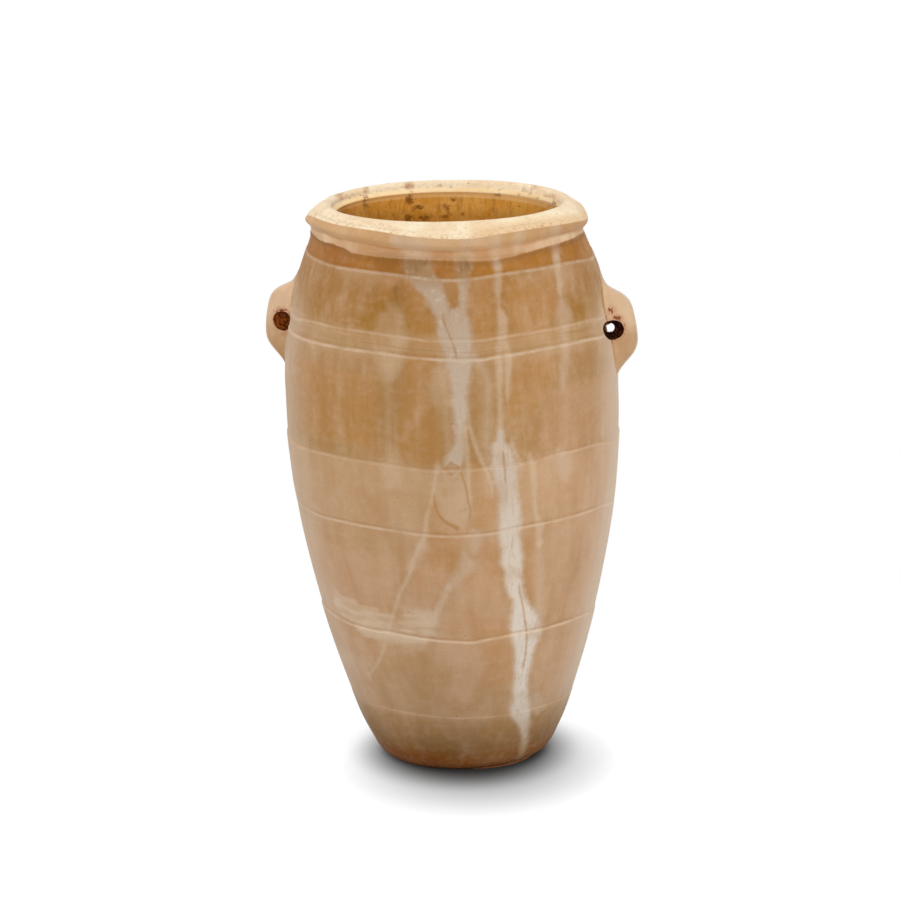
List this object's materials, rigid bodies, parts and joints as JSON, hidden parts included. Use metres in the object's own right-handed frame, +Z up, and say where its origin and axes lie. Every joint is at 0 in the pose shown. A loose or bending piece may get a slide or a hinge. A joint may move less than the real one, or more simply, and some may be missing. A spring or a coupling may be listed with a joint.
{
  "type": "stone vase",
  "caption": "Tall tapering stone vase with a rolled rim, wide round mouth, shallow turned ledges and pierced shoulder lugs for a carrying cord.",
  "frame": {"origin": "centre of the flat foot, on the surface that the jar stands on", "axes": "+Z up, +X towards the right lug, +Y towards the back"},
  "size_m": [0.1314, 0.1174, 0.201],
  "materials": {
    "stone": "smooth, worn matt polish with pale veins"
  },
  "bodies": {
    "root": {"body": "stone", "rim": "stone", "left_lug": "stone", "right_lug": "stone"}
  },
  "joints": []
}
